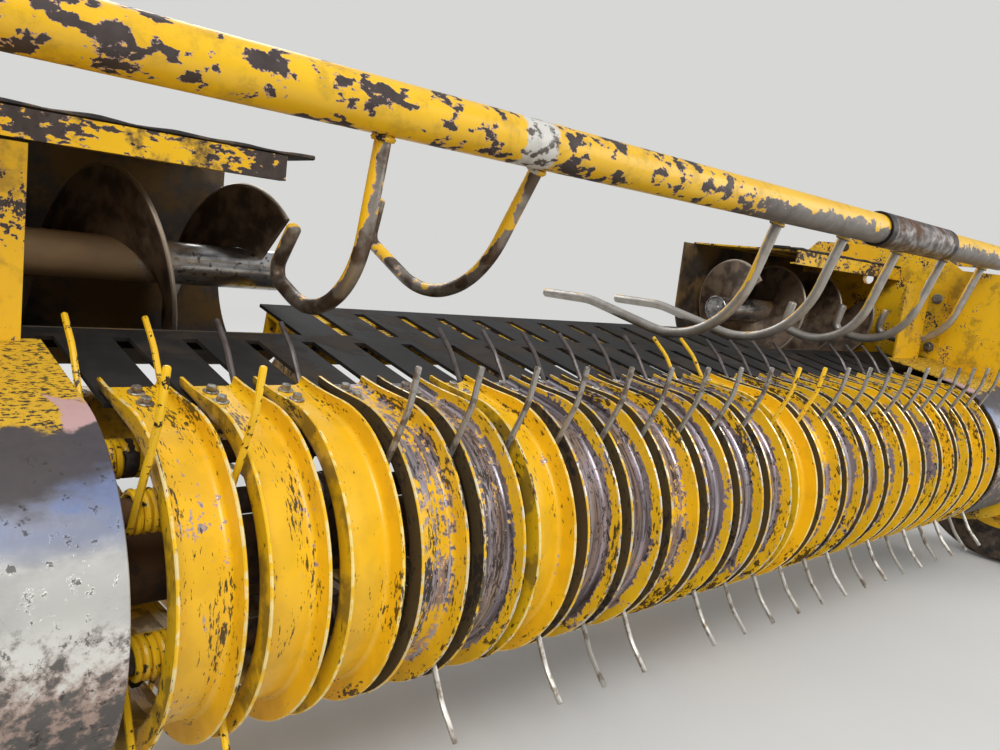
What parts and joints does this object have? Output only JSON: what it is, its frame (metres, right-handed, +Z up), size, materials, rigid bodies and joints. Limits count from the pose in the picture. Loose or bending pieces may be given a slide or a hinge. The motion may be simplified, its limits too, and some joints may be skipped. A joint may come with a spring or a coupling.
{
  "type": "round baler pickup unit",
  "caption": "Tined reel under curved stripper bands between two side walls, with side augers, comb floor, a tilting wind guard and two gauge wheels.",
  "frame": {"origin": "middle of the pivot axis, halfway between the two side walls' pivot bores", "axes": "+X to the right across the machine, along the reel; +Y rearward, towards the baler; +Z up"},
  "size_m": [2.47, 0.7359, 0.6825],
  "materials": {
    "yellow_paint": "worn gloss",
    "worn_band": "paint worn to steel",
    "worn_rod": "paint worn to steel",
    "polished_steel": "polished by crop",
    "spring_steel": "bare wire",
    "dirty_steel": "grime over steel",
    "rubber": "dusty",
    "tyre": "dusty"
  },
  "bodies": {
    "frame": {"side_wall_left": "yellow_paint", "side_wall_right": "yellow_paint", "rear_beam": "yellow_paint", "bottom_rail": "yellow_paint", "floor_ribs": "yellow_paint", "floor_cross_front": "yellow_paint", "floor_cross_rear": "yellow_paint", "comb_floor": "dirty_steel", "bands_left": "yellow_paint", "bands_middle": "worn_band", "bands_right": "worn_band", "end_cover_left": "polished_steel", "end_cover_right": "polished_steel", "trough_left": "dirty_steel", "trough_right": "dirty_steel", "hood_left": "yellow_paint", "hood_right": "yellow_paint", "flap_left": "rubber", "flap_right": "rubber", "inner_guard_left": "yellow_paint", "inner_guard_right": "yellow_paint", "bearings": "dirty_steel", "chain_guard": "yellow_paint", "wheel_arm_left": "yellow_paint", "wheel_arm_right": "yellow_paint"},
    "reel": {"reel_shaft": "dirty_steel", "reel_spiders": "yellow_paint", "tine_bars": "dirty_steel", "tines_low_front": "spring_steel", "tines_top_front": "spring_steel", "tines_top_rear": "spring_steel", "tines_rear": "spring_steel", "tines_bottom": "spring_steel"},
    "auger_left": {"auger_tube_left": "polished_steel", "auger_flight_left": "dirty_steel"},
    "auger_right": {"auger_tube_right": "polished_steel", "auger_flight_right": "dirty_steel"},
    "wind_guard": {"guard_tube": "yellow_paint", "guard_sleeve": "dirty_steel", "guard_arms": "yellow_paint", "guard_rods": "worn_rod"},
    "wheel_left": {"tyre_left": "tyre", "rim_left": "yellow_paint"},
    "wheel_right": {"tyre_right": "tyre", "rim_right": "yellow_paint"}
  },
  "joints": [
    {"name": "reel_spin", "type": "hinge", "parent": "frame", "child": "reel", "pos_m": [0, -0.43, -0.09], "axis": [1, 0, 0], "continuous": true},
    {"name": "auger_left_spin", "type": "hinge", "parent": "frame", "child": "auger_left", "pos_m": [-0.7, -0.115, 0.135], "axis": [1, 0, 0], "continuous": true},
    {"name": "auger_right_spin", "type": "hinge", "parent": "frame", "child": "auger_right", "pos_m": [0.7, -0.115, 0.135], "axis": [1, 0, 0], "continuous": true},
    {"name": "wind_guard_tilt", "type": "hinge", "parent": "frame", "child": "wind_guard", "pos_m": [0, -0.1, 0.302], "axis": [-1, 0, 0], "range_deg": [0, 30]},
    {"name": "wheel_left_spin", "type": "hinge", "parent": "frame", "child": "wheel_left", "pos_m": [-1.155, -0.5, -0.152], "axis": [1, 0, 0], "continuous": true},
    {"name": "wheel_right_spin", "type": "hinge", "parent": "frame", "child": "wheel_right", "pos_m": [1.155, -0.5, -0.152], "axis": [1, 0, 0], "continuous": true}
  ],
  "couplings": [
    {"joint": "auger_left_spin", "follows": "reel_spin", "ratio": 1.6},
    {"joint": "auger_right_spin", "follows": "reel_spin", "ratio": 1.6}
  ]
}
